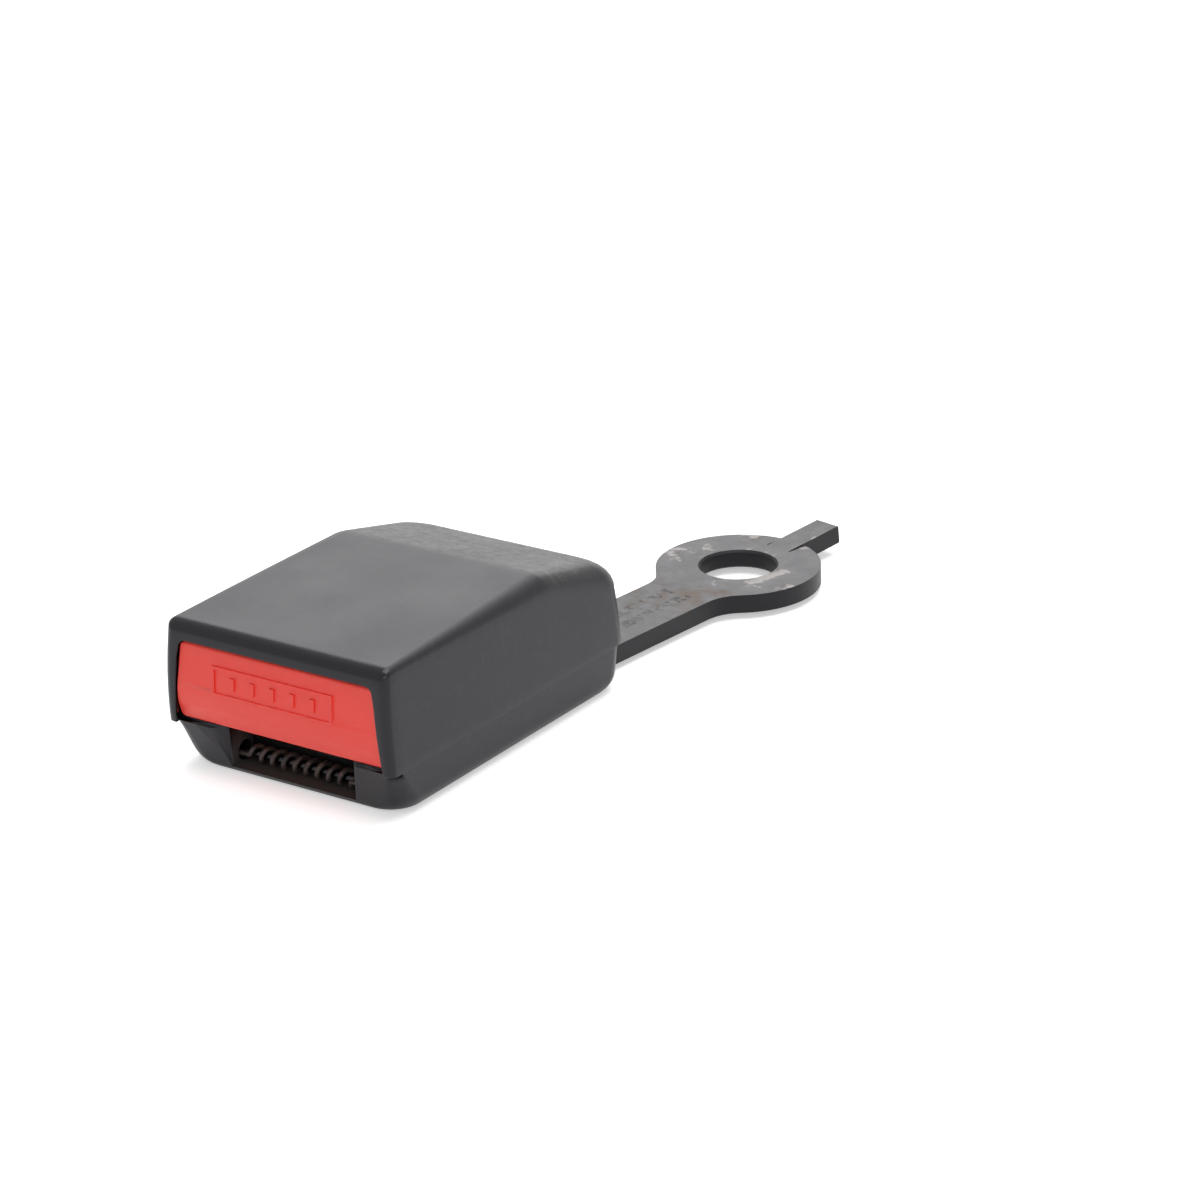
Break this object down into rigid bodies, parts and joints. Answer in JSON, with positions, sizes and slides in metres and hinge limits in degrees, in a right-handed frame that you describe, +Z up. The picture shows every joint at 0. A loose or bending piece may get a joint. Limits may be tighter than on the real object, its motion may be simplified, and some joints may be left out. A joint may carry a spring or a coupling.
{
  "type": "seat belt buckle",
  "caption": "Push-button seat belt buckle with a moulded two-part cover, red release button, tongue slot and flat steel stalk ending in an anchor eye with a bent tab.",
  "frame": {"origin": "centre of the anchor hole, on its axis at half the plate's thickness", "axes": "+Z up out of the anchor plate along the hole's axis, towards the side with the button's upper cover; +Y along the buckle, from the button towards the anchor eye; +X to the right seen from the button end"},
  "size_m": [0.0556, 0.1422, 0.0285],
  "materials": {
    "housing": "fine moulded grain, charcoal",
    "inner_plastic": "smooth moulded acetal, black",
    "button": "satin moulded, red",
    "plate_steel": "dark phosphated, worn on its edges",
    "frame_steel": "zinc plated pressing",
    "pin_steel": "hardened, ground",
    "spring_steel": "drawn wire",
    "rubber": "moulded",
    "screw_steel": "black zinc plated"
  },
  "bodies": {
    "buckle": {"upper_cover": "housing", "lower_cover": "housing", "anchor_plate": "plate_steel", "frame": "frame_steel", "frame_rivets": "frame_steel", "latch_pin": "pin_steel", "pin_clip": "spring_steel", "mouth_guides": "inner_plastic", "button_bumpers": "rubber", "cover_screws": "screw_steel", "spring_rod": "pin_steel", "ejector_rod": "pin_steel", "return_spring": "spring_steel", "latch_spring": "spring_steel", "ejector_spring": "spring_steel"},
    "button": {"release_button": "button", "release_slide": "inner_plastic"},
    "latch": {"latch_plate": "frame_steel"},
    "ejector": {"ejector": "inner_plastic"}
  },
  "joints": [
    {"name": "button_slide", "type": "slide", "parent": "buckle", "child": "button", "axis": [0, 1, 0], "range_m": [0, 0.005], "stiffness_N_per_m": 2000, "springref_m": -0.005, "deforming": ["return_spring"]},
    {"name": "latch_pivot", "type": "hinge", "parent": "buckle", "child": "latch", "pos_m": [-0.016, -0.0748, 0.00965], "axis": [-1, 0, 0], "range_deg": [0, 10], "deforming": ["latch_spring"]},
    {"name": "ejector_slide", "type": "slide", "parent": "buckle", "child": "ejector", "axis": [0, 1, 0], "range_m": [0, 0.015], "stiffness_N_per_m": 400, "springref_m": -0.01, "deforming": ["ejector_spring"]}
  ],
  "couplings": [
    {"joint": "latch_pivot", "follows": "button_slide", "rad_per_m": 34.907}
  ]
}
